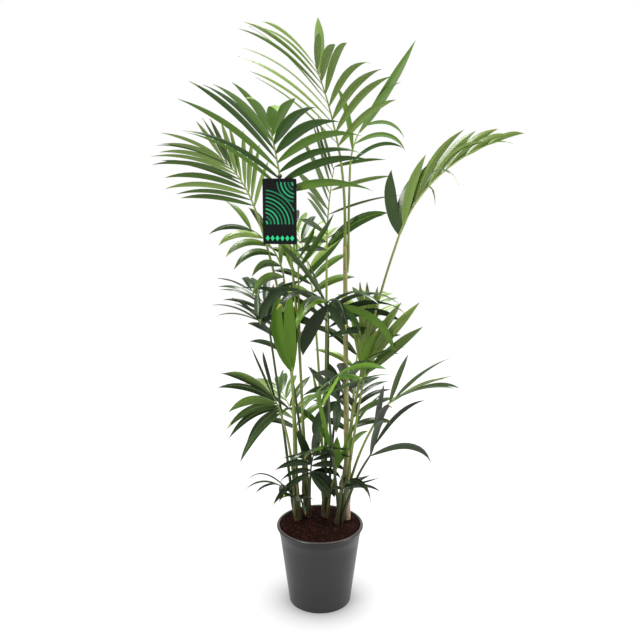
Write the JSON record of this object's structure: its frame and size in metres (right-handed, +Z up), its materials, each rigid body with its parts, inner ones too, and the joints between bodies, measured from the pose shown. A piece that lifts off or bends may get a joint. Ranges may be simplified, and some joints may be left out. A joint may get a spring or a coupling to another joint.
{
  "type": "potted kentia palm",
  "caption": "Indoor palm with slender stems and arching feather fronds, standing in a round dark grey nursery pot of soil, with a hang tag on one frond.",
  "frame": {"origin": "centre of the pot's flat underside", "axes": "+Z up along the pot's axis; -Y is the front with the hang tag; +X is the viewer's right"},
  "size_m": [0.8983, 0.9431, 1.5481],
  "materials": {
    "pot": "satin dark grey",
    "soil": "rough, moist brown",
    "tag": "satin black with a green motif",
    "stem": "matt green-brown",
    "cane": "matt brown to olive",
    "petiole": "smooth yellow-green",
    "leaf_bright": "satin bright green",
    "leaf_green": "satin grey-green",
    "leaf_dark": "satin dark green",
    "leaf_young": "satin yellow-green"
  },
  "bodies": {
    "root": {"pot": "pot", "potting_soil": "soil", "hang_tag": "tag", "left_front_stem": "stem", "left_back_stem": "stem", "middle_stem": "stem", "right_front_stem": "stem", "tall_cane": "cane", "top_frond_petiole": "petiole", "top_frond": "leaf_green", "top_right_frond_petiole": "petiole", "top_right_frond": "leaf_bright", "upper_middle_frond_petiole": "petiole", "upper_middle_frond": "leaf_bright", "upper_left_frond_petiole": "petiole", "upper_left_frond": "leaf_green", "left_young_frond_petiole": "petiole", "left_young_frond": "leaf_green", "centre_spear_frond_petiole": "petiole", "centre_spear_frond": "leaf_young", "upper_back_frond_petiole": "petiole", "upper_back_frond": "leaf_green", "right_arching_frond_petiole": "petiole", "right_arching_frond": "leaf_dark", "left_small_frond_petiole": "petiole", "left_small_frond": "leaf_dark", "split_leaf_frond_petiole": "petiole", "split_leaf_frond": "leaf_young", "centre_dark_frond_petiole": "petiole", "centre_dark_frond": "leaf_dark", "right_middle_frond_petiole": "petiole", "right_middle_frond": "leaf_dark", "front_bright_frond_petiole": "petiole", "front_bright_frond": "leaf_bright", "left_fan_frond_petiole": "petiole", "left_fan_frond": "leaf_green", "left_low_frond_petiole": "petiole", "left_low_frond": "leaf_dark", "right_spreading_frond_petiole": "petiole", "right_spreading_frond": "leaf_green", "right_low_frond_petiole": "petiole", "right_low_frond": "leaf_dark", "low_bright_frond_petiole": "petiole", "low_bright_frond": "leaf_young", "low_star_frond_petiole": "petiole", "low_star_frond": "leaf_dark", "low_dark_frond_petiole": "petiole", "low_dark_frond": "leaf_dark", "inner_dark_frond_petiole": "petiole", "inner_dark_frond": "leaf_dark", "back_high_frond_petiole": "petiole", "back_high_frond": "leaf_green", "back_right_frond_petiole": "petiole", "back_right_frond": "leaf_green", "back_left_frond_petiole": "petiole", "back_left_frond": "leaf_dark", "back_low_right_frond_petiole": "petiole", "back_low_right_frond": "leaf_dark", "back_low_left_frond_petiole": "petiole", "back_low_left_frond": "leaf_green"}
  },
  "joints": []
}
